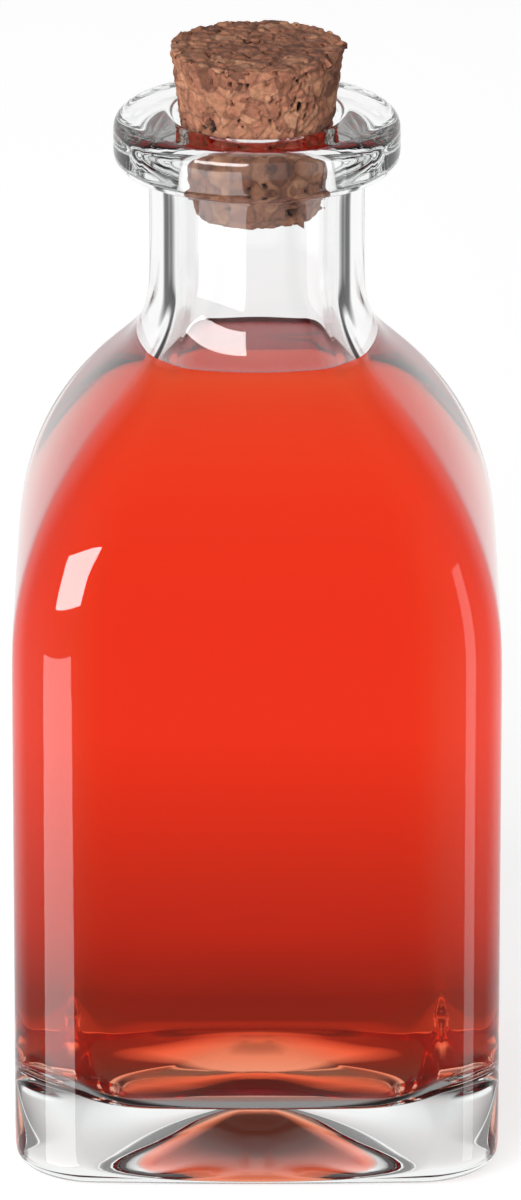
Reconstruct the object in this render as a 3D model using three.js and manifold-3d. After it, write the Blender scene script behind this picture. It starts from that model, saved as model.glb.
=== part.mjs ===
// A small square bottle of clear glass, filled, with a tapered cork pushed part way into its mouth.
// Millimetres, +Z up. The origin is under the middle of the base, on the surface that it stands on.

import * as THREE from 'three';
import { mergeVertices } from 'three/addons/utils/BufferGeometryUtils.js';
import Module from 'manifold-3d';

const wasm = await Module();
wasm.setup();

// Body
const bodySide = 46; // across the flats
const cornerRadius = 6.2; // vertical corners, seen from above
const heelRadius = 2.4; // where the sides turn under
const wall = 2.2; // sides and shoulders
const innerCornerRadius = 8; // the hollow is rounder than the outside

// Base, pushed up in the middle
const baseThickness = 6.4; // under the lowest ring of the floor
const floorRise = 2.8; // how far the middle of the floor stands up
const innerHeelRadius = 6.5;
const puntSide = 33; // the hollow under the base, across its flats
const puntDepth = 3.2;

// Shoulders and neck
const shoulderHeight = 51.3; // where the sides begin to turn in
const shoulderRadius = 36;
const neckDiameter = 20.4;
const rootRadius = 12; // outer sweep from the shoulders into the neck
const innerRootRadius = 14; // the same sweep inside
const roundness = 3.3; // how late the square section turns round on its way up

// Lip
const mouthHeight = 99.9; // top of the lip above the surface
const lipDiameter = 27.2;
const lipHeight = 5.1;
const lipEdgeRadius = 1.4;
const lipUnderRadius = 0.9; // between the neck and the underside of the lip
const mouthEdgeRadius = 1;

// Cork
const corkTopDiameter = 17;
const corkBottomDiameter = 12.4;
const corkLength = 16.9;
const corkStands = 7.1; // above the lip
const corkEdgeRadius = 0.35;

// Filling
const fillHeight = 76.8; // level of the liquid above the surface

const clearance = 0.3; // between pieces that touch

// Fineness of the facets
const flatSteps = 3; // along half a flat side
const cornerSteps = 8; // round one corner
const shoulderSteps = 11;
const rootSteps = 5;
const roundSteps = 4; // on small roundings
const floorSteps = 6;
const corkSegments = 40;

// Points from angle start to angle end, in radians, on a circle in the profile's plane
function arc(centreX, centreY, radius, start, end, steps) {
  const points = [];
  for (let i = 0; i <= steps; i++) {
    const angle = start + ((end - start) * i) / steps;
    points.push(new THREE.Vector2(centreX + radius * Math.cos(angle), centreY + radius * Math.sin(angle)));
  }
  return points;
}

// The directions, seen from above, of the points round a section: even on the flats, finer at corners
function sectionAngles() {
  const flat = bodySide / 2 - cornerRadius;
  const eighth = [];
  for (let i = 0; i < flatSteps; i++) {
    eighth.push(Math.atan2((flat * i) / flatSteps, bodySide / 2));
  }
  for (let i = 0; i <= cornerSteps / 2; i++) {
    const turn = (i / cornerSteps) * (Math.PI / 2);
    eighth.push(Math.atan2(flat + cornerRadius * Math.sin(turn), flat + cornerRadius * Math.cos(turn)));
  }
  const mirrored = eighth.slice(1, -1).reverse().map((angle) => Math.PI / 2 - angle);
  const quarter = eighth.concat(mirrored);
  const angles = [];
  for (let side = 0; side < 4; side++) {
    angles.push(...quarter.map((angle) => angle + (side * Math.PI) / 2));
  }
  angles.push(2 * Math.PI);
  return angles;
}

// Distance from the axis to a square with rounded corners, in one direction
function sectionReach(halfSide, corner, angle) {
  const fold = Math.abs(((angle + Math.PI / 4) % (Math.PI / 2)) - Math.PI / 4);
  const flat = halfSide - corner;
  if (Math.tan(fold) * halfSide <= flat) {
    return halfSide / Math.cos(fold);
  }
  const along = flat * (Math.cos(fold) + Math.sin(fold));
  return along + Math.sqrt(Math.max(corner * corner - 2 * flat * flat + along * along, 0));
}

// The corner radius of a section: that of the body up to the shoulders, and a full circle at the neck
function cornerAt(height, halfSide, bodyHalfSide, bodyCorner, neckHeight) {
  if (height <= shoulderHeight) {
    return Math.min(halfSide, bodyCorner);
  }
  const rise = Math.min((height - shoulderHeight) / (neckHeight - shoulderHeight), 1);
  const share = THREE.MathUtils.lerp(bodyCorner / bodyHalfSide, 1, rise ** roundness);
  return halfSide * share;
}

// A turned shape whose rings are made square: x of the profile is half the side, y is the height
function squareLathe(profile, bodyHalfSide, bodyCorner, neckHeight) {
  const angles = sectionAngles();
  const geometry = new THREE.LatheGeometry(profile, angles.length - 1);
  const position = geometry.attributes.position;
  for (let ring = 0; ring < angles.length; ring++) {
    const angle = ring === angles.length - 1 ? 0 : angles[ring];
    for (let i = 0; i < profile.length; i++) {
      const { x: halfSide, y: height } = profile[i];
      const corner = cornerAt(height, halfSide, bodyHalfSide, bodyCorner, neckHeight);
      const reach = sectionReach(halfSide, corner, angle);
      position.setXYZ(ring * profile.length + i, reach * Math.sin(angle), height, reach * Math.cos(angle));
    }
  }
  geometry.rotateX(Math.PI / 2);
  return geometry;
}

function solidOf(geometry) {
  geometry.deleteAttribute('normal');
  geometry.deleteAttribute('uv');
  const merged = mergeVertices(geometry, 1e-5);
  const position = merged.attributes.position;
  const index = merged.index.array;
  const triangles = [];
  for (let i = 0; i < index.length; i += 3) {
    const [a, b, c] = [index[i], index[i + 1], index[i + 2]];
    if (a !== b && b !== c && c !== a) {
      triangles.push(a, b, c);
    }
  }
  const mesh = new wasm.Mesh({
    numProp: 3,
    vertProperties: new Float32Array(position.array),
    triVerts: new Uint32Array(triangles),
  });
  return new wasm.Manifold(mesh);
}

function geometryOf(solid) {
  const mesh = solid.getMesh();
  const geometry = new THREE.BufferGeometry();
  geometry.setAttribute('position', new THREE.BufferAttribute(new Float32Array(mesh.vertProperties), 3));
  geometry.setIndex(new THREE.BufferAttribute(new Uint32Array(mesh.triVerts), 1));
  geometry.computeVertexNormals();
  return geometry;
}

// The shoulders' arc, from the sides up, and the hollow sweep that joins it to the neck
function shoulder(halfSide, radius, neckRadius, sweep) {
  const centre = halfSide - radius;
  const across = neckRadius + sweep - centre;
  const neckHeight = shoulderHeight + Math.sqrt((radius + sweep) ** 2 - across ** 2);
  const meeting = Math.acos(across / (radius + sweep));
  const dome = arc(centre, shoulderHeight, radius, 0, meeting, shoulderSteps);
  const root = arc(neckRadius + sweep, neckHeight, sweep, Math.PI + meeting, Math.PI, rootSteps);
  return { points: dome.concat(root.slice(1)), neckHeight };
}

// Cork
const corkBottom = mouthHeight + corkStands - corkLength;
const corkTaper = (corkTopDiameter - corkBottomDiameter) / 2 / corkLength;

function corkRadiusAt(height) {
  return corkBottomDiameter / 2 + corkTaper * (height - corkBottom);
}

// The cork bears where the rounded edge of the mouth passes into the bore
const seatHeight = mouthHeight - mouthEdgeRadius;
const boreRadius = corkRadiusAt(seatHeight) + clearance;

// The outside of the bottle, from the middle of the base round to the middle of the mouth
function outerForm() {
  const halfSide = bodySide / 2;
  const turn = shoulder(halfSide, shoulderRadius, neckDiameter / 2, rootRadius);
  const lipRadius = lipDiameter / 2;
  const lipBottom = mouthHeight - lipHeight;
  const profile = [
    new THREE.Vector2(0, 0),
    ...arc(halfSide - heelRadius, heelRadius, heelRadius, -Math.PI / 2, 0, roundSteps),
    ...turn.points,
    ...arc(neckDiameter / 2 + lipUnderRadius, lipBottom - lipUnderRadius, lipUnderRadius,
      Math.PI, Math.PI / 2, roundSteps),
    ...arc(lipRadius - lipEdgeRadius, lipBottom + lipEdgeRadius, lipEdgeRadius, -Math.PI / 2, 0, roundSteps),
    ...arc(lipRadius - lipEdgeRadius, mouthHeight - lipEdgeRadius, lipEdgeRadius, 0, Math.PI / 2, roundSteps),
    new THREE.Vector2(0, mouthHeight),
  ];
  return solidOf(squareLathe(profile, halfSide, cornerRadius, turn.neckHeight));
}

// The inside from the middle of the floor up to the neck, drawn in by inset on every side
function hollow(inset) {
  const halfSide = bodySide / 2 - wall - inset;
  const heel = innerHeelRadius - inset;
  const turn = shoulder(halfSide, shoulderRadius - wall - inset, boreRadius - inset, innerRootRadius + inset);
  const floor = baseThickness + inset;
  const floorHalfSide = halfSide - heel;
  const floorPoints = [];
  for (let i = 0; i < floorSteps; i++) {
    const share = i / floorSteps;
    const rise = (floorRise * (1 + Math.cos(Math.PI * share))) / 2;
    floorPoints.push(new THREE.Vector2(floorHalfSide * share, floor + rise));
  }
  const points = [
    ...floorPoints,
    ...arc(halfSide - heel, floor + heel, heel, -Math.PI / 2, 0, roundSteps),
    ...turn.points,
  ];
  return { points, halfSide, corner: innerCornerRadius - inset, neckHeight: turn.neckHeight };
}

function cavityForm() {
  const inside = hollow(0);
  const profile = [
    ...inside.points,
    ...arc(boreRadius + mouthEdgeRadius, seatHeight, mouthEdgeRadius, Math.PI, Math.PI / 2, roundSteps),
    new THREE.Vector2(boreRadius + mouthEdgeRadius, mouthHeight + mouthEdgeRadius),
    new THREE.Vector2(0, mouthHeight + mouthEdgeRadius),
  ];
  return solidOf(squareLathe(profile, inside.halfSide, inside.corner, inside.neckHeight));
}

// The hollow under the base, a shallow dome on a square plan
function puntForm() {
  const halfSide = puntSide / 2;
  const radius = (halfSide * halfSide + puntDepth * puntDepth) / (2 * puntDepth);
  const edge = Math.asin(halfSide / radius);
  const dome = arc(0, puntDepth - radius, radius, Math.PI / 2 - edge, Math.PI / 2, floorSteps);
  const profile = [
    new THREE.Vector2(0, -puntDepth),
    new THREE.Vector2(halfSide, -puntDepth),
    ...dome.slice(0, -1),
    new THREE.Vector2(0, puntDepth),
  ];
  return solidOf(squareLathe(profile, halfSide, cornerRadius, mouthHeight));
}

function bottleGeometry() {
  return geometryOf(outerForm().subtract(cavityForm()).subtract(puntForm()));
}

// The filling follows the inside of the glass up to its level
function liquidGeometry() {
  const inside = hollow(clearance);
  const points = [];
  for (const point of inside.points) {
    const last = points[points.length - 1];
    if (last && last.y < fillHeight && point.y >= fillHeight) {
      const share = (fillHeight - last.y) / (point.y - last.y);
      points.push(new THREE.Vector2(THREE.MathUtils.lerp(last.x, point.x, share), fillHeight));
      break;
    }
    points.push(point);
  }
  points.push(new THREE.Vector2(0, fillHeight));
  return geometryOf(solidOf(squareLathe(points, inside.halfSide, inside.corner, inside.neckHeight)));
}

function corkGeometry() {
  const top = corkBottom + corkLength;
  const edge = corkEdgeRadius;
  const profile = [
    new THREE.Vector2(0, corkBottom),
    new THREE.Vector2(corkRadiusAt(corkBottom) - edge, corkBottom),
    new THREE.Vector2(corkRadiusAt(corkBottom + edge), corkBottom + edge),
    new THREE.Vector2(corkRadiusAt(top - edge), top - edge),
    new THREE.Vector2(corkRadiusAt(top) - edge, top),
    new THREE.Vector2(0, top),
  ];
  const geometry = new THREE.LatheGeometry(profile, corkSegments);
  geometry.rotateX(Math.PI / 2);
  return geometryOf(solidOf(geometry));
}

function piece(name, geometry, finish) {
  const mesh = new THREE.Mesh(geometry, new THREE.MeshStandardMaterial(finish));
  mesh.name = name;
  return mesh;
}

const group = new THREE.Group();
group.add(piece('glass_bottle', bottleGeometry(), { color: 0xe6ece9, roughness: 0.03, metalness: 0 }));
group.add(piece('liquid', liquidGeometry(), { color: 0xf03c20, roughness: 0.02, metalness: 0 }));
group.add(piece('cork_stopper', corkGeometry(), { color: 0xa8724f, roughness: 0.85, metalness: 0 }));

export default group;
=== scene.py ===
import math
import bmesh
import bpy
import numpy as np
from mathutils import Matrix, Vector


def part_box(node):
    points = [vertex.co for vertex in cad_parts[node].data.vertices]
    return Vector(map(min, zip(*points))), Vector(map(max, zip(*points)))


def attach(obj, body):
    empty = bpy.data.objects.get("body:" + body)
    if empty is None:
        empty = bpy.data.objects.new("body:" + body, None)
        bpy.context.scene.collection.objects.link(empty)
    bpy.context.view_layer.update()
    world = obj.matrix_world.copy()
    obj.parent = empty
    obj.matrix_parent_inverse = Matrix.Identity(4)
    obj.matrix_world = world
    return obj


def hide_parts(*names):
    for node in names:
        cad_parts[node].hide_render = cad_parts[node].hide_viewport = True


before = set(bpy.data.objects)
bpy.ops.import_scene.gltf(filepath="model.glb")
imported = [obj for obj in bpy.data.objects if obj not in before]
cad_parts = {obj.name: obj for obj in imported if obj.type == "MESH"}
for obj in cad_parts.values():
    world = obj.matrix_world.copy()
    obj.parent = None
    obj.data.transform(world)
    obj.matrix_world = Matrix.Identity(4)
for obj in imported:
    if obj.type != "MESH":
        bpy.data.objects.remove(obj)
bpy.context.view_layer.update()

mm = 0.001
same = 1e-6  # two places closer than this, in metres, are one
print("frame loaded:", sorted(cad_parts))

# helpers for modelling


def leaveEditing():
    if bpy.context.object and bpy.context.object.mode != "OBJECT":
        bpy.ops.object.mode_set(mode="OBJECT")
    bpy.ops.object.select_all(action="DESELECT")


def takeUp(piece):
    # makes the piece the only one that is selected, and the active one
    leaveEditing()
    piece.select_set(True)
    bpy.context.view_layer.objects.active = piece


def arcPoints(centreR, centreZ, radius, start, end, steps):
    # points as (distance from the axis, height), angles in degrees
    points = []
    for i in range(steps + 1):
        angle = math.radians(start + (end - start) * i / steps)
        points.append((centreR + radius * math.cos(angle), centreZ + radius * math.sin(angle)))
    return points


def pick(piece, kind, test):
    # selects the vertices, edges or faces of the piece in edit mode that pass the test
    bpy.ops.mesh.select_mode(type={"verts": "VERT", "edges": "EDGE", "faces": "FACE"}[kind])
    bpy.ops.mesh.select_all(action="DESELECT")
    mesh = bmesh.from_edit_mesh(piece.data)
    for item in getattr(mesh, kind):
        if test(item):
            item.select_set(True)
    mesh.select_flush_mode()
    bmesh.update_edit_mesh(piece.data)


def pickedReach(piece):
    # half the side of the picked ring, measured at the middle of its flats
    mesh = bmesh.from_edit_mesh(piece.data)
    return max(v.co.x for v in mesh.verts if v.select and abs(v.co.y) < same)


def roundedSquare(name, halfSide, corner, height, cornerSteps=8, flatSteps=6):
    # an open ring: a plane with its corners bevelled round and its sides divided
    leaveEditing()
    bpy.ops.mesh.primitive_plane_add(size=2 * halfSide * mm, location=(0, 0, height * mm))
    piece = bpy.context.object
    piece.name = name
    bpy.ops.object.transform_apply(location=True, rotation=True, scale=True)
    bpy.ops.object.mode_set(mode="EDIT")
    bpy.ops.mesh.select_all(action="SELECT")
    bpy.ops.mesh.bevel(offset=corner * mm, offset_type="OFFSET", affect="VERTICES",
                       segments=cornerSteps, profile=0.5)
    bpy.ops.mesh.select_all(action="SELECT")
    bpy.ops.mesh.delete(type="ONLY_FACE")
    pick(piece, "edges", lambda e: e.calc_length() > (halfSide - corner) * mm)
    bpy.ops.mesh.subdivide(number_cuts=flatSteps - 1)
    bpy.ops.mesh.select_all(action="SELECT")
    return piece


def growRings(piece, rings, height):
    # extrudes the picked ring from its height through one (half side, height, roundness) after another
    roundness = 0.0
    for halfSide, nextHeight, nextRoundness in rings:
        lift = (0, 0, (nextHeight - height) * mm)
        bpy.ops.mesh.extrude_edges_move(TRANSFORM_OT_translate={"value": lift})
        if nextRoundness > roundness:
            share = 1 - (1 - nextRoundness) / (1 - roundness)
            bpy.ops.transform.tosphere(value=min(share, 1))
            roundness = nextRoundness
        scale = halfSide * mm / pickedReach(piece)
        bpy.ops.transform.resize(value=(scale, scale, 1), center_override=(0, 0, nextHeight * mm))
        height = nextHeight


def pickRing(piece, height, reach, margin=8):
    # the ring at a height whose half side is the reach, and none that lies inside it by the margin
    inner = (reach - margin) * mm
    pick(piece, "verts", lambda v: abs(v.co.z - height * mm) < same
         and max(abs(v.co.x), abs(v.co.y)) > inner)


def useModifier(piece, kind, **values):
    takeUp(piece)
    modifier = piece.modifiers.new(kind.title(), kind)
    for key, value in values.items():
        setattr(modifier, key, value)
    bpy.ops.object.modifier_apply(modifier=modifier.name)


def finishShell(piece, levels):
    # welds the rings, turns the faces outwards and smooths the cage into the final surface
    bpy.ops.mesh.select_all(action="SELECT")
    bpy.ops.mesh.remove_doubles(threshold=same)
    bpy.ops.mesh.select_all(action="SELECT")
    bpy.ops.mesh.normals_make_consistent(inside=False)
    useModifier(piece, "SUBSURF", levels=levels, render_levels=levels)
    bpy.ops.object.shade_smooth()


# helpers for materials


def newMaterial(name):
    material = bpy.data.materials.new(name)
    material.use_nodes = True
    tree = material.node_tree
    return material, tree, tree.nodes["Principled BSDF"], tree.nodes["Material Output"]


def addNode(tree, kind, inputs=None, **settings):
    node = tree.nodes.new(kind)
    for key, value in settings.items():
        setattr(node, key, value)
    for key, value in (inputs or {}).items():
        if isinstance(value, bpy.types.NodeSocket):
            tree.links.new(value, node.inputs[key])
        else:
            node.inputs[key].default_value = value
    return node


def mixValue(tree, share, low, high):
    return addNode(tree, "ShaderNodeMix", {"Factor": share, "A": low, "B": high}).outputs["Result"]


def mixColor(tree, share, low, high):
    mix = addNode(tree, "ShaderNodeMix", {"Factor": share, "A": low, "B": (*high, 1)}, data_type="RGBA")
    return mix.outputs[2]


def mapValue(tree, value, start, end, low=0.0, high=1.0):
    # runs from low to high while the value runs from start to end, and holds there
    ranged = addNode(tree, "ShaderNodeMapRange", {"Value": value, "From Min": start, "From Max": end,
                                                  "To Min": low, "To Max": high})
    return ranged.outputs["Result"]


def mathValue(tree, operation, first, second=None):
    inputs = {0: first} if second is None else {0: first, 1: second}
    return addNode(tree, "ShaderNodeMath", inputs, operation=operation).outputs[0]


def wear(piece, material):
    piece.data.materials.clear()
    piece.data.materials.append(material)


# the bottle: one blown shell, outside and inside, joined over the lip; sizes in millimetres

bottleLow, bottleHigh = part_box("glass_bottle")
bottle = {
    "side": 2 * bottleHigh.x / mm,
    "mouthHeight": bottleHigh.z / mm,
    "corner": 6.2,
    "heel": 2.4,
    "aboveHeel": 2.0,  # the first ring lies this far above the heel, outside and inside
    "shoulderHeight": 51.3,
    "shoulderRadius": 36.0,
    "neckRadius": 10.2,
    "rootRadius": 12.0,  # sweep from the shoulders into the neck
    "roundness": 3.3,  # how late the square section turns round on its way up
    "lipRadius": 13.6,
    "lipHeight": 5.1,
    "lipEdge": 1.4,
    "lipUnder": 0.9,
    "lipFlat": 1.0,  # level stretch of the lip inward of its rounded edge, on top and underneath
    "lipUnderFlat": 0.4,
    "wall": 2.2,
    "innerCorner": 8.0,
    "innerHeel": 6.5,
    "innerRoot": 14.0,
    "boreRadius": 7.66,
    "mouthEdge": 1.0,
    "floorHeight": 6.4,
    "floorRise": 2.8,
    "puntHalfSide": 16.5,
    "puntDepth": 3.2,
    "puntBend": 0.25,  # 1 swells softly, 0 rises evenly
    "smoothing": 2,
}

cornerExcess = math.sqrt(2) - 1  # how much farther a square's corner lies than its side


def roundnessAt(height, corner, halfSide, neckHeight):
    # how far a section has gone from the body's rounded square to a circle
    rise = (height - bottle["shoulderHeight"]) / (neckHeight - bottle["shoulderHeight"])
    rise = min(max(rise, 0), 1) ** bottle["roundness"]
    startShare = corner / halfSide
    share = startShare + (1 - startShare) * rise
    gone = cornerExcess * (share - startShare)
    left = cornerExcess * (1 - share)
    if left < 0.0005:
        return 1.0
    return gone / (gone + 1.18 * left)  # the last part of the way needs a little more


def shoulderRings(halfSide, corner, radius, neckRadius, sweep, radiusSteps=12, sweepSteps=6):
    # the shoulders' arc from the sides' top and the sweep into the neck
    centre = halfSide - radius
    across = neckRadius + sweep - centre
    base = bottle["shoulderHeight"]
    neckHeight = base + math.sqrt((radius + sweep) ** 2 - across ** 2)
    meeting = math.degrees(math.acos(across / (radius + sweep)))
    points = arcPoints(centre, base, radius, 0, meeting, radiusSteps)
    points += arcPoints(neckRadius + sweep, neckHeight, sweep, 180 + meeting, 180, sweepSteps)[1:]
    rings = [(r, z, roundnessAt(z, corner, halfSide, neckHeight)) for r, z in points]
    return rings, neckHeight


def straightRings(halfSide, start, steps=6):
    # the flat run of the sides, without its two ends
    rise = bottle["shoulderHeight"] - start
    return [(halfSide, start + rise * i / steps, 0) for i in range(1, steps)]


def middleRings(halfSide, startRoundness, rise, base, bend=1.0, steps=8):
    # a base or floor that rises towards the middle, rounder on the way in
    rings = []
    for i in range(1, steps):
        share = 1 - i / steps
        soft = (1 + math.cos(math.pi * share)) / 2
        height = base + rise * (bend * soft + (1 - bend) * (1 - share))
        rings.append((halfSide * share, height, 1 - (1 - startRoundness) * share ** 0.4))
    return rings


def closeMiddle():
    # extrudes the last small ring once more and gathers it on the axis
    bpy.ops.mesh.extrude_edges_move(TRANSFORM_OT_translate={"value": (0, 0, 0)})
    bpy.ops.mesh.merge(type="CENTER")


def outsideShell():
    b = bottle
    halfSide = b["side"] / 2
    start = b["heel"] + b["aboveHeel"]
    edge = b["lipEdge"]
    under = b["lipUnder"]
    lipBottom = b["mouthHeight"] - b["lipHeight"]
    lipEdgeCentre = b["lipRadius"] - edge
    piece = roundedSquare("bottle_shell", halfSide, b["corner"], start)
    rings, neckHeight = shoulderRings(halfSide, b["corner"], b["shoulderRadius"], b["neckRadius"],
                                      b["rootRadius"])
    neckRise = lipBottom - under - neckHeight
    lip = [(b["neckRadius"], neckHeight + neckRise * i / 3) for i in range(1, 3)]
    lip += arcPoints(b["neckRadius"] + under, lipBottom - under, under, 180, 90, 3)
    lip += [(lipEdgeCentre - b["lipUnderFlat"], lipBottom)]
    lip += arcPoints(lipEdgeCentre, lipBottom + edge, edge, -90, 0, 4)
    lip += [(b["lipRadius"], b["mouthHeight"] - b["lipHeight"] / 2)]
    lip += arcPoints(lipEdgeCentre, b["mouthHeight"] - edge, edge, 0, 90, 4)
    lip += [(lipEdgeCentre - b["lipFlat"], b["mouthHeight"])]
    growRings(piece, straightRings(halfSide, start) + rings + [(r, z, 1) for r, z in lip], start)

    # back to the first ring, then down round the heel, along the rim and up into the punt;
    # a ring's third value says how round it has gone
    pickRing(piece, start, halfSide)
    heelArc = arcPoints(halfSide - b["heel"], b["heel"], b["heel"], 0, -90, 4)
    heel = [(r, z, 0.10 * i / 4) for i, (r, z) in enumerate(heelArc)]
    punt = b["puntHalfSide"]
    rim = [(halfSide - b["heel"] - 0.5, 0, 0.12), (punt + 1.2, 0, 0.15), (punt + 0.3, 0, 0.16)]
    rise = [(punt, 0.02, 0.2)] + middleRings(punt, 0.2, b["puntDepth"], 0, bend=b["puntBend"])
    growRings(piece, heel + rim + rise, start)
    closeMiddle()
    return piece


def insideRings(inset):
    # the hollow, drawn in by inset on every side: where its first ring lies, then the rings
    # up to the neck and down to the floor
    b = bottle
    halfSide = b["side"] / 2 - b["wall"] - inset
    corner = b["innerCorner"] - inset
    floor = b["floorHeight"] + inset
    heel = b["innerHeel"] - inset
    start = floor + heel + b["aboveHeel"]
    rings, neckHeight = shoulderRings(halfSide, corner, b["shoulderRadius"] - b["wall"] - inset,
                                      b["boreRadius"] - inset, b["innerRoot"] + inset)
    heelArc = arcPoints(halfSide - heel, floor + heel, heel, 0, -90, 6)
    down = [(r, z, 0.12 * i / 6) for i, (r, z) in enumerate(heelArc)]
    down += middleRings(halfSide - heel, 0.14, b["floorRise"], floor)
    return halfSide, corner, start, straightRings(halfSide, start) + rings, down, neckHeight


def insideShell():
    b = bottle
    edge = b["mouthEdge"]
    seat = b["mouthHeight"] - edge
    halfSide, corner, start, up, down, neckHeight = insideRings(0)
    piece = roundedSquare("hollow_shell", halfSide, corner, start)
    mouth = [(b["boreRadius"], neckHeight + (seat - neckHeight) * i / 4) for i in range(1, 4)]
    mouth += arcPoints(b["boreRadius"] + edge, seat, edge, 180, 90, 4)
    mouth += [(b["boreRadius"] + edge + 0.8, b["mouthHeight"])]
    growRings(piece, up + [(r, z, 1) for r, z in mouth], start)
    pickRing(piece, start, halfSide)
    growRings(piece, down, start)
    closeMiddle()
    bpy.ops.mesh.select_all(action="SELECT")
    bpy.ops.mesh.flip_normals()  # it faces the hollow, so the bridge over the mouth pairs up the right way
    return piece


def makeBottle():
    inside = insideShell()
    outside = outsideShell()
    takeUp(outside)
    inside.select_set(True)
    bpy.ops.object.join()
    piece = bpy.context.object
    piece.name = "bottle_shell"
    bpy.ops.object.mode_set(mode="EDIT")
    top = bottle["mouthHeight"] * mm
    pick(piece, "edges", lambda e: e.is_boundary and all(abs(v.co.z - top) < same for v in e.verts))
    bpy.ops.mesh.bridge_edge_loops()
    finishShell(piece, bottle["smoothing"])
    return piece


def isWet(face):
    # on the inner wall or floor, below the liquid's level
    centre = face.calc_center_median()
    lowestInside = bottle["floorHeight"] * 0.8 * mm
    inward = face.normal.xy.dot(centre.xy) < 0 and centre.z > lowestInside
    onFloor = face.normal.z > 0.5 and lowestInside < centre.z < bottle["shoulderHeight"] * mm
    return centre.z < liquid["level"] * mm and (inward or onFloor)


# the liquid: follows the inside of the glass up to its level, with a small rim where it wets the wall

liquidLow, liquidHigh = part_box("liquid")
liquid = {
    "level": liquidHigh.z / mm,
    "overlap": 0.04,  # into the glass, so that no air lies between
    "wetRim": 0.45,  # height of the rim
    "smoothing": 2,
}


def makeLiquid():
    level = liquid["level"]
    rim = liquid["wetRim"]
    halfSide, corner, start, up, down, neckHeight = insideRings(-liquid["overlap"])
    piece = roundedSquare("liquid_body", halfSide, corner, start)
    wall = [ring for ring in up if ring[1] < level - 0.6]
    below = wall[-1]
    above = next(ring for ring in up if ring[1] >= level)

    def wallReach(height):
        share = (height - below[1]) / (above[1] - below[1])
        return below[0] + (above[0] - below[0]) * share

    # up the wall to the rim's edge, then down its hollow curve and across the surface
    edge = wallReach(level + rim)
    surface = [(wallReach(level), level, below[2])]
    for inward, lift in ((0, 1), (0.12, 0.9), (0.45, 0.35), (1.1, 0.08)):
        surface.append((edge - inward, level + rim * lift, above[2]))
    surface.append((edge - 2.2, level, 1))
    surface += [(edge * share, level, 1) for share in (0.5, 0.25, 0.08)]
    growRings(piece, wall + surface, start)
    closeMiddle()
    pickRing(piece, start, halfSide)
    growRings(piece, down, start)
    closeMiddle()
    finishShell(piece, liquid["smoothing"])
    return piece


bottleShell = makeBottle()
print("bottle shell:", len(bottleShell.data.polygons), "faces")
liquidBody = makeLiquid()
print("liquid:", len(liquidBody.data.polygons), "faces")

# the cork: pressed granules, with grooves between them, pits and a chipped rim; sizes in millimetres

corkLow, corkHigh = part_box("cork_stopper")
cork = {
    "bottom": corkLow.z / mm,
    "top": corkHigh.z / mm,
    "topRadius": 8.5,
    "bottomRadius": 6.2,
    "edge": 0.35,
    "voxel": 0.13,
    "granule": 2.3,
    "grooveDepth": 0.22,
    "grainSize": 0.42,  # the finer grains and their grooves, as a share of the granules'
    "grainDepth": 0.45,
    "swell": 0.14,
    "swellSize": 3.2,
    "pitSize": 0.9,
    "pitDepth": 0.8,
    "pitRange": (0.68, 0.76),  # higher is rarer
    "chipSize": 2.4,
    "chipDepth": 0.7,
    "chipRange": (0.69, 0.78),
    "nearSurface": 1.2,  # what lies less deep than this tells the usual level of a face
}


def rampTexture(name, kind, size, low, high, flip=False, detail=None):
    # a procedural texture whose grey runs from black to white between low and high
    texture = bpy.data.textures.new(name, kind)
    texture.noise_scale = size * mm
    texture.use_color_ramp = True
    if detail is not None:
        texture.noise_depth = detail
    if kind == "VORONOI":
        texture.weight_1 = -1  # the distance to the nearest border between cells
        texture.weight_2 = 1
    stops = texture.color_ramp.elements
    first, last = (1, 0) if flip else (0, 1)
    stops[0].position = low
    stops[0].color = (first, first, first, 1)
    stops[1].position = high
    stops[1].color = (last, last, last, 1)
    return texture


def carve(piece, texture, depth):
    useModifier(piece, "DISPLACE", texture=texture, texture_coords="LOCAL", direction="NORMAL",
                strength=depth * mm, mid_level=1.0)


def corkRadiusAt(height):
    share = (height - cork["bottom"]) / (cork["top"] - cork["bottom"])
    return cork["bottomRadius"] + (cork["topRadius"] - cork["bottomRadius"]) * share


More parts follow.
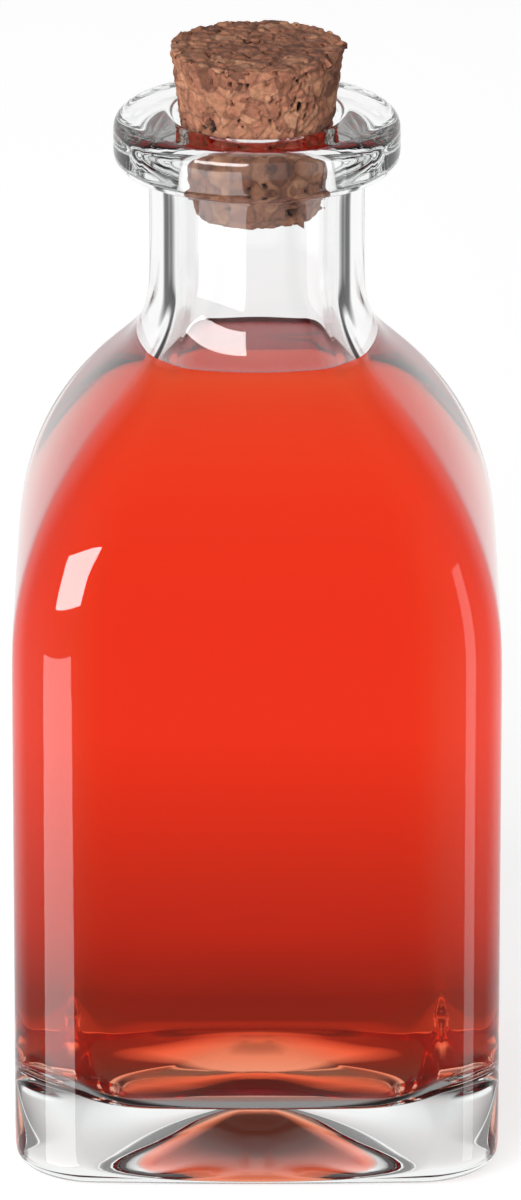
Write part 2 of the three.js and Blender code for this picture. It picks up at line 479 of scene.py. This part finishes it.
def makeCork():
    c = cork
    middle = (c["top"] + c["bottom"]) / 2
    leaveEditing()
    bpy.ops.mesh.primitive_cylinder_add(vertices=96, radius=c["topRadius"] * mm,
                                        depth=(c["top"] - c["bottom"]) * mm, location=(0, 0, middle * mm))
    piece = bpy.context.object
    piece.name = "cork_body"
    bpy.ops.object.transform_apply(location=True, rotation=True, scale=True)
    bpy.ops.object.mode_set(mode="EDIT")
    pick(piece, "verts", lambda v: v.co.z < middle * mm)
    taper = c["bottomRadius"] / c["topRadius"]
    bpy.ops.transform.resize(value=(taper, taper, 1), center_override=(0, 0, c["bottom"] * mm))
    pick(piece, "edges", lambda e: abs(e.verts[0].co.z - e.verts[1].co.z) < same)
    bpy.ops.mesh.bevel(offset=c["edge"] * mm, segments=3, affect="EDGES")
    useModifier(piece, "REMESH", mode="VOXEL", voxel_size=c["voxel"] * mm)
    useModifier(piece, "SMOOTH", factor=0.5, iterations=4)

    grainSize = c["granule"] * c["grainSize"]
    grainDepth = c["grooveDepth"] * c["grainDepth"]
    swell = rampTexture("corkSwell", "CLOUDS", c["swellSize"], 0.25, 0.75)
    carve(piece, swell, c["swell"])
    grooves = rampTexture("corkGrooves", "VORONOI", c["granule"], 0.0, 0.12)
    carve(piece, grooves, c["grooveDepth"])
    grains = rampTexture("corkGrains", "VORONOI", grainSize, 0.0, 0.3)
    carve(piece, grains, grainDepth)
    pits = rampTexture("corkPits", "CLOUDS", c["pitSize"], *c["pitRange"], flip=True, detail=2)
    carve(piece, pits, c["pitDepth"])
    chips = rampTexture("corkChips", "CLOUDS", c["chipSize"], *c["chipRange"], flip=True, detail=4)
    carve(piece, chips, c["chipDepth"])
    fitToBox(piece, corkLow, corkHigh)
    markHollows(piece)
    takeUp(piece)
    bpy.ops.object.shade_smooth()
    return piece


def fitToBox(piece, low, high):
    # scales the carved form about the middle of its foot so that it fills the node's box
    co = [v.co for v in piece.data.vertices]
    across = max(max(abs(p.x), abs(p.y)) for p in co)
    foot = min(p.z for p in co)
    top = max(p.z for p in co)
    side = high.x / across
    rise = (high.z - low.z) / (top - foot)
    takeUp(piece)
    bpy.ops.object.mode_set(mode="EDIT")
    bpy.ops.mesh.select_all(action="SELECT")
    bpy.ops.transform.translate(value=(0, 0, low.z - foot))
    bpy.ops.transform.resize(value=(side, side, rise), center_override=(0, 0, low.z))
    leaveEditing()


def markHollows(piece):
    # an attribute that says how deep each point lies under the plain tapered form, 0 to 1; the material uses
    # it for painted shade in the pits and chips
    count = len(piece.data.vertices)
    co = np.zeros(count * 3, np.float32)
    piece.data.vertices.foreach_get("co", co)
    co = co.reshape(-1, 3) / mm
    side = corkRadiusAt(co[:, 2]) - np.hypot(co[:, 0], co[:, 1])
    above = cork["top"] - co[:, 2]
    below = co[:, 2] - cork["bottom"]
    for way in (side, above, below):
        way -= np.median(way[way < cork["nearSurface"]])
    depth = np.minimum(side, np.minimum(above, below))
    attribute = piece.data.attributes.new("hollow", "FLOAT", "POINT")
    attribute.data.foreach_set("value", np.clip(depth / cork["pitDepth"], 0, 1).astype(np.float32))


corkBody = makeCork()
print("cork:", len(corkBody.data.polygons), "faces")

# materials; depth is how strongly the tint takes light away, per metre

glassLook = {"ior": 1.5, "tint": (0.80, 0.90, 0.87, 1), "depth": 5.0}
liquidLook = {"ior": 1.34, "tint": (0.993, 0.335, 0.01, 1), "depth": 122.0}
corkLook = {
    "granuleScale": 480.0,
    "grainScale": 1150.0,
    "grainShare": 0.4,
    "fleckScale": 2600.0,
    "warpScale": 420.0,
    "warp": 0.0012,
    "fleckRange": (0.3, 0.7),
    "fleckShade": (0.72, 1.22),
    "fleckBump": 0.0003,  # height in metres
    "seamWidth": 0.09,
    "seamStrength": 0.55,
    "seamColor": (0.09, 0.035, 0.018),
    # painted shade in the pits and chips: over this depth range the colour darkens to the near-black colour
    # below
    "pitShadeRange": (0.28, 0.7),
    "pitShadeColor": (0.022, 0.009, 0.005),
    "roughness": 0.85,
    "tones": [(0.0, (0.08, 0.028, 0.015)), (0.25, (0.20, 0.071, 0.037)), (0.5, (0.33, 0.128, 0.072)),
              (0.75, (0.37, 0.165, 0.09)), (1.0, (0.50, 0.25, 0.145))],
}


def makeClearMaterial(name, look, wet, deep=True):
    # where glass and liquid meet there is next to no gloss, so wet faces have none
    material, tree, shader, output = newMaterial(name)
    shader.inputs["Base Color"].default_value = (1, 1, 1, 1)
    shader.inputs["Roughness"].default_value = 0.0
    shader.inputs["IOR"].default_value = look["ior"]
    shader.inputs["Transmission Weight"].default_value = 1.0
    if wet:
        shader.inputs["Specular Tint"].default_value = (0, 0, 0, 1)
    if deep:
        inside = {"Color": look["tint"], "Density": look["depth"]}
        volume = addNode(tree, "ShaderNodeVolumeAbsorption", inside)
        tree.links.new(volume.outputs["Volume"], output.inputs["Volume"])
    return material


def wetInside(piece, material):
    # gives the faces that the liquid touches their own material
    piece.data.materials.append(material)
    takeUp(piece)
    bpy.ops.object.mode_set(mode="EDIT")
    pick(piece, "faces", isWet)
    piece.active_material_index = 1
    bpy.ops.object.material_slot_assign()
    leaveEditing()


def corkTones(tree, place):
    # each granule and each grain in it has a tone of its own
    look = corkLook
    granules = addNode(tree, "ShaderNodeTexVoronoi", {"Vector": place, "Scale": look["granuleScale"]})
    grains = addNode(tree, "ShaderNodeTexVoronoi", {"Vector": place, "Scale": look["grainScale"]})
    one = addNode(tree, "ShaderNodeSeparateColor", {"Color": granules.outputs["Color"]}).outputs["Red"]
    two = addNode(tree, "ShaderNodeSeparateColor", {"Color": grains.outputs["Color"]}).outputs["Red"]
    ramp = addNode(tree, "ShaderNodeValToRGB", {"Fac": mixValue(tree, look["grainShare"], one, two)})
    stops = ramp.color_ramp.elements
    while len(stops) < len(look["tones"]):
        stops.new(0.5)
    for stop, (position, tone) in zip(stops, look["tones"]):
        stop.position = position
        stop.color = (*tone, 1)
    return ramp.outputs["Color"]


def makeCorkMaterial():
    look = corkLook
    material, tree, shader, output = newMaterial("pressed cork")
    place = addNode(tree, "ShaderNodeTexCoord").outputs["Object"]
    warp = addNode(tree, "ShaderNodeTexNoise", {"Vector": place, "Scale": look["warpScale"], "Detail": 3.0})
    shift = addNode(tree, "ShaderNodeVectorMath", {0: warp.outputs["Color"], 1: (look["warp"],) * 3},
                    operation="MULTIPLY")
    warped = addNode(tree, "ShaderNodeVectorMath", {0: place, 1: shift.outputs[0]},
                     operation="ADD").outputs[0]
    fleck = addNode(tree, "ShaderNodeTexNoise", {"Vector": place, "Scale": look["fleckScale"],
                                                 "Detail": 6.0, "Roughness": 0.65}).outputs["Fac"]
    shade = mapValue(tree, fleck, *look["fleckRange"], *look["fleckShade"])
    color = addNode(tree, "ShaderNodeVectorMath", {0: corkTones(tree, warped), "Scale": shade},
                    operation="SCALE").outputs["Vector"]

    # brown seams where the granules meet, and painted shade that darkens the colour towards near black the
    # deeper the surface lies, in the pits and chips, over the pits' own darker colour
    seams = addNode(tree, "ShaderNodeTexVoronoi", {"Vector": warped, "Scale": look["granuleScale"]},
                    feature="DISTANCE_TO_EDGE")
    seam = mapValue(tree, seams.outputs["Distance"], 0.0, look["seamWidth"], look["seamStrength"], 0.0)
    color = mixColor(tree, seam, color, look["seamColor"])
    hollow = addNode(tree, "ShaderNodeAttribute", attribute_name="hollow").outputs["Fac"]
    color = mixColor(tree, mapValue(tree, hollow, *look["pitShadeRange"]), color, look["pitShadeColor"])
    tree.links.new(color, shader.inputs["Base Color"])
    bump = addNode(tree, "ShaderNodeBump", {"Height": fleck, "Strength": 0.5, "Distance": look["fleckBump"]})
    tree.links.new(bump.outputs["Normal"], shader.inputs["Normal"])
    shader.inputs["Roughness"].default_value = look["roughness"]
    return material


wear(bottleShell, makeClearMaterial("clear glass", glassLook, wet=False))
wetInside(bottleShell, makeClearMaterial("wet glass", glassLook, wet=True, deep=False))
wear(liquidBody, makeClearMaterial("red liquid", liquidLook, wet=True))
wear(corkBody, makeCorkMaterial())

for piece, node, body, slot in ((bottleShell, "glass_bottle", "bottle", "glass"),
                                (liquidBody, "liquid", "bottle", "liquid"),
                                (corkBody, "cork_stopper", "cork", "cork")):
    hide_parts(node)
    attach(piece, body)
print("materials on")

# floor, lights, world and camera; lengths in metres

stageLook = {
    "floorRadius": 1.6,
    "floorDrop": 0.02 * mm,  # keeps the floor just clear of the base
    "floorColor": (0.5, 0.5, 0.5, 1),
    "floorWhite": 0.70,  # what the camera sees on top of the lit colour
    "nearPath": 0.012,
    "farPath": 0.095,
    "nearLevel": 0.28,  # painted shade: how light the floor's glow looks through the glass after a short path, just behind the glass, and after a longer path
    "farLevel": 0.97,
    "pathPower": 0.8,
    "ambient": 0.36,
    "gloss": 0.2,  # the room before the bottle, as its gloss shows it, and the white backdrop behind it
    "backGloss": 0.95,
    "backStart": 0.15,  # the backdrop comes in where the reflected way's Y passes from here
    "backFull": 0.6,  # to here
    "darkSide": 0.05,
    "highStart": 0.3,  # light turned round in the glass sees the room darken as its way's Z rises
    "highFull": 0.62,
    "highLevel": 0.1,
}


def sidesGroup():
    # light sides before, behind and beside the bottle, with a narrow dark one between each two
    group = bpy.data.node_groups.new("light and dark sides", "ShaderNodeTree")
    group.interface.new_socket("Way", in_out="INPUT", socket_type="NodeSocketVector")
    group.interface.new_socket("Level", in_out="OUTPUT", socket_type="NodeSocketFloat")
    way = group.nodes.new("NodeGroupInput").outputs["Way"]
    split = addNode(group, "ShaderNodeSeparateXYZ", {"Vector": way})
    azimuth = mathValue(group, "ARCTAN2", split.outputs["X"], split.outputs["Y"])
    fourSides = mathValue(group, "COSINE", mathValue(group, "MULTIPLY", azimuth, 4.0))
    level = mapValue(group, fourSides, -0.96, -0.72, stageLook["darkSide"], 1.0)
    addNode(group, "NodeGroupOutput", {"Level": level})
    return group


sides = sidesGroup()


def sideLevel(tree, way):
    return addNode(tree, "ShaderNodeGroup", {"Way": way}, node_tree=sides).outputs["Level"]


def isTurned(tree, path):
    # 1 for light that was turned round inside the glass on its way
    return mathValue(tree, "MINIMUM", path.outputs["Glossy Depth"], 1.0)


def makeFloor():
    look = stageLook
    leaveEditing()
    bpy.ops.mesh.primitive_circle_add(vertices=96, radius=look["floorRadius"], fill_type="NGON",
                                      location=(0, 0, -look["floorDrop"]))
    floor = bpy.context.object
    floor.name = "floor"
    bpy.ops.object.transform_apply(location=True, rotation=True, scale=True)
    material, tree, shader, output = newMaterial("pale floor")
    shader.inputs["Base Color"].default_value = look["floorColor"]
    shader.inputs["Roughness"].default_value = 0.9
    shader.inputs["Specular IOR Level"].default_value = 0.1
    shader.inputs["Emission Color"].default_value = (1, 1, 1, 1)
    path = addNode(tree, "ShaderNodeLightPath")
    white = mathValue(tree, "MULTIPLY", path.outputs["Is Camera Ray"], look["floorWhite"])
    tree.links.new(white, shader.inputs["Emission Strength"])

    # through the glass the floor glows, with painted shade: darker where the ray's path is short, just
    # behind the bottle, and, for light turned round inside the glass, darker in narrow painted sectors on
    # the diagonals
    place = addNode(tree, "ShaderNodeTexCoord").outputs["Object"]
    level = mapValue(tree, path.outputs["Ray Length"], look["nearPath"], look["farPath"])
    level = mathValue(tree, "POWER", level, look["pathPower"])
    level = mapValue(tree, level, 0.0, 1.0, look["nearLevel"], look["farLevel"])
    shown = mixValue(tree, isTurned(tree, path), 1.0, sideLevel(tree, place))
    through = addNode(tree, "ShaderNodeEmission", {"Strength": mathValue(tree, "MULTIPLY", shown, level)})
    seen = addNode(tree, "ShaderNodeMixShader", {"Fac": path.outputs["Is Transmission Ray"],
                                                 1: shader.outputs[0], 2: through.outputs[0]})
    tree.links.new(seen.outputs[0], output.inputs["Surface"])
    wear(floor, material)
    floor.visible_glossy = False


panels = [
    # azimuth and elevation in degrees: azimuth 0 is the camera's side, positive to the right
    {"name": "left window", "azimuth": -28.5, "elevation": 18, "width": 0.66, "height": 0.34, "power": 11.0},
    {"name": "left strip", "azimuth": -36, "elevation": -25, "width": 0.8, "height": 0.45, "power": 4.6},
    {"name": "right strip", "azimuth": 62, "elevation": -5, "width": 0.3, "height": 0.9, "power": 1.8},
]


def addPanel(panel, distance=0.9, target=0.05):
    # a flat softbox that faces the bottle at the height of the target
    turn = math.radians(panel["azimuth"])
    lift = math.radians(panel["elevation"])
    data = bpy.data.lights.new(panel["name"], "AREA")
    data.shape = "RECTANGLE"
    data.size = panel["width"]
    data.size_y = panel["height"]
    data.energy = panel["power"]
    lamp = bpy.data.objects.new(panel["name"], data)
    bpy.context.scene.collection.objects.link(lamp)
    lamp.location = (distance * math.cos(lift) * math.sin(turn), -distance * math.cos(lift) * math.cos(turn),
                     target + distance * math.sin(lift))
    lamp.rotation_euler = (math.pi / 2 - lift, 0, turn)
    lamp.visible_camera = False
    lamp.visible_transmission = False


def makeWorld():
    look = stageLook
    world = bpy.data.worlds.new("studio")
    bpy.context.scene.world = world
    world.use_nodes = True
    tree = world.node_tree
    background = tree.nodes["Background"]
    path = addNode(tree, "ShaderNodeLightPath")
    toward = addNode(tree, "ShaderNodeTexCoord").outputs["Generated"]
    way = addNode(tree, "ShaderNodeSeparateXYZ", {"Vector": toward})

    # glass that turns light round inside shows the room's four light and four dark sides
    high = mapValue(tree, way.outputs["Z"], look["highStart"], look["highFull"], 1.0, look["highLevel"])
    room = mathValue(tree, "MULTIPLY", sideLevel(tree, toward), high)
    through = mixValue(tree, isTurned(tree, path), 1.0, room)
    gloss = mapValue(tree, way.outputs["Y"], look["backStart"], look["backFull"],
                     look["gloss"], look["backGloss"])
    strength = mixValue(tree, path.outputs["Is Glossy Ray"], look["ambient"], gloss)
    strength = mixValue(tree, path.outputs["Is Transmission Ray"], strength, through)
    strength = mixValue(tree, path.outputs["Is Camera Ray"], strength, 1.0)
    background.inputs["Color"].default_value = (1, 1, 1, 1)
    tree.links.new(strength, background.inputs["Strength"])


view = {
    # the camera stands 1 m before the bottle and looks down on it
    "place": (0.00033, -1.0, 0.41411),  # metres
    "downward": 19.94,  # degrees
    "sensor": 36,  # millimetres
    "focalPixels": 11198,  # the photo's focal length and height, in its pixels
    "photoHeight": 1200,
}


def makeCamera():
    data = bpy.data.cameras.new("camera")
    camera = bpy.data.objects.new("camera", data)
    bpy.context.scene.collection.objects.link(camera)
    camera.location = view["place"]
    camera.rotation_euler = (math.radians(90 - view["downward"]), 0, 0)
    data.sensor_fit = "VERTICAL"
    data.sensor_height = view["sensor"]
    data.lens = view["focalPixels"] / view["photoHeight"] * view["sensor"]
    data.clip_start = 0.05
    bpy.context.scene.camera = camera


makeFloor()
for panel in panels:
    addPanel(panel)
makeWorld()
makeCamera()
bpy.context.scene.view_settings.view_transform = "Standard"
bpy.context.scene.cycles.max_bounces = 20  # light turns round many times in thick glass
bpy.context.scene.cycles.glossy_bounces = 10
bpy.context.scene.cycles.transmission_bounces = 20
print("stage set")
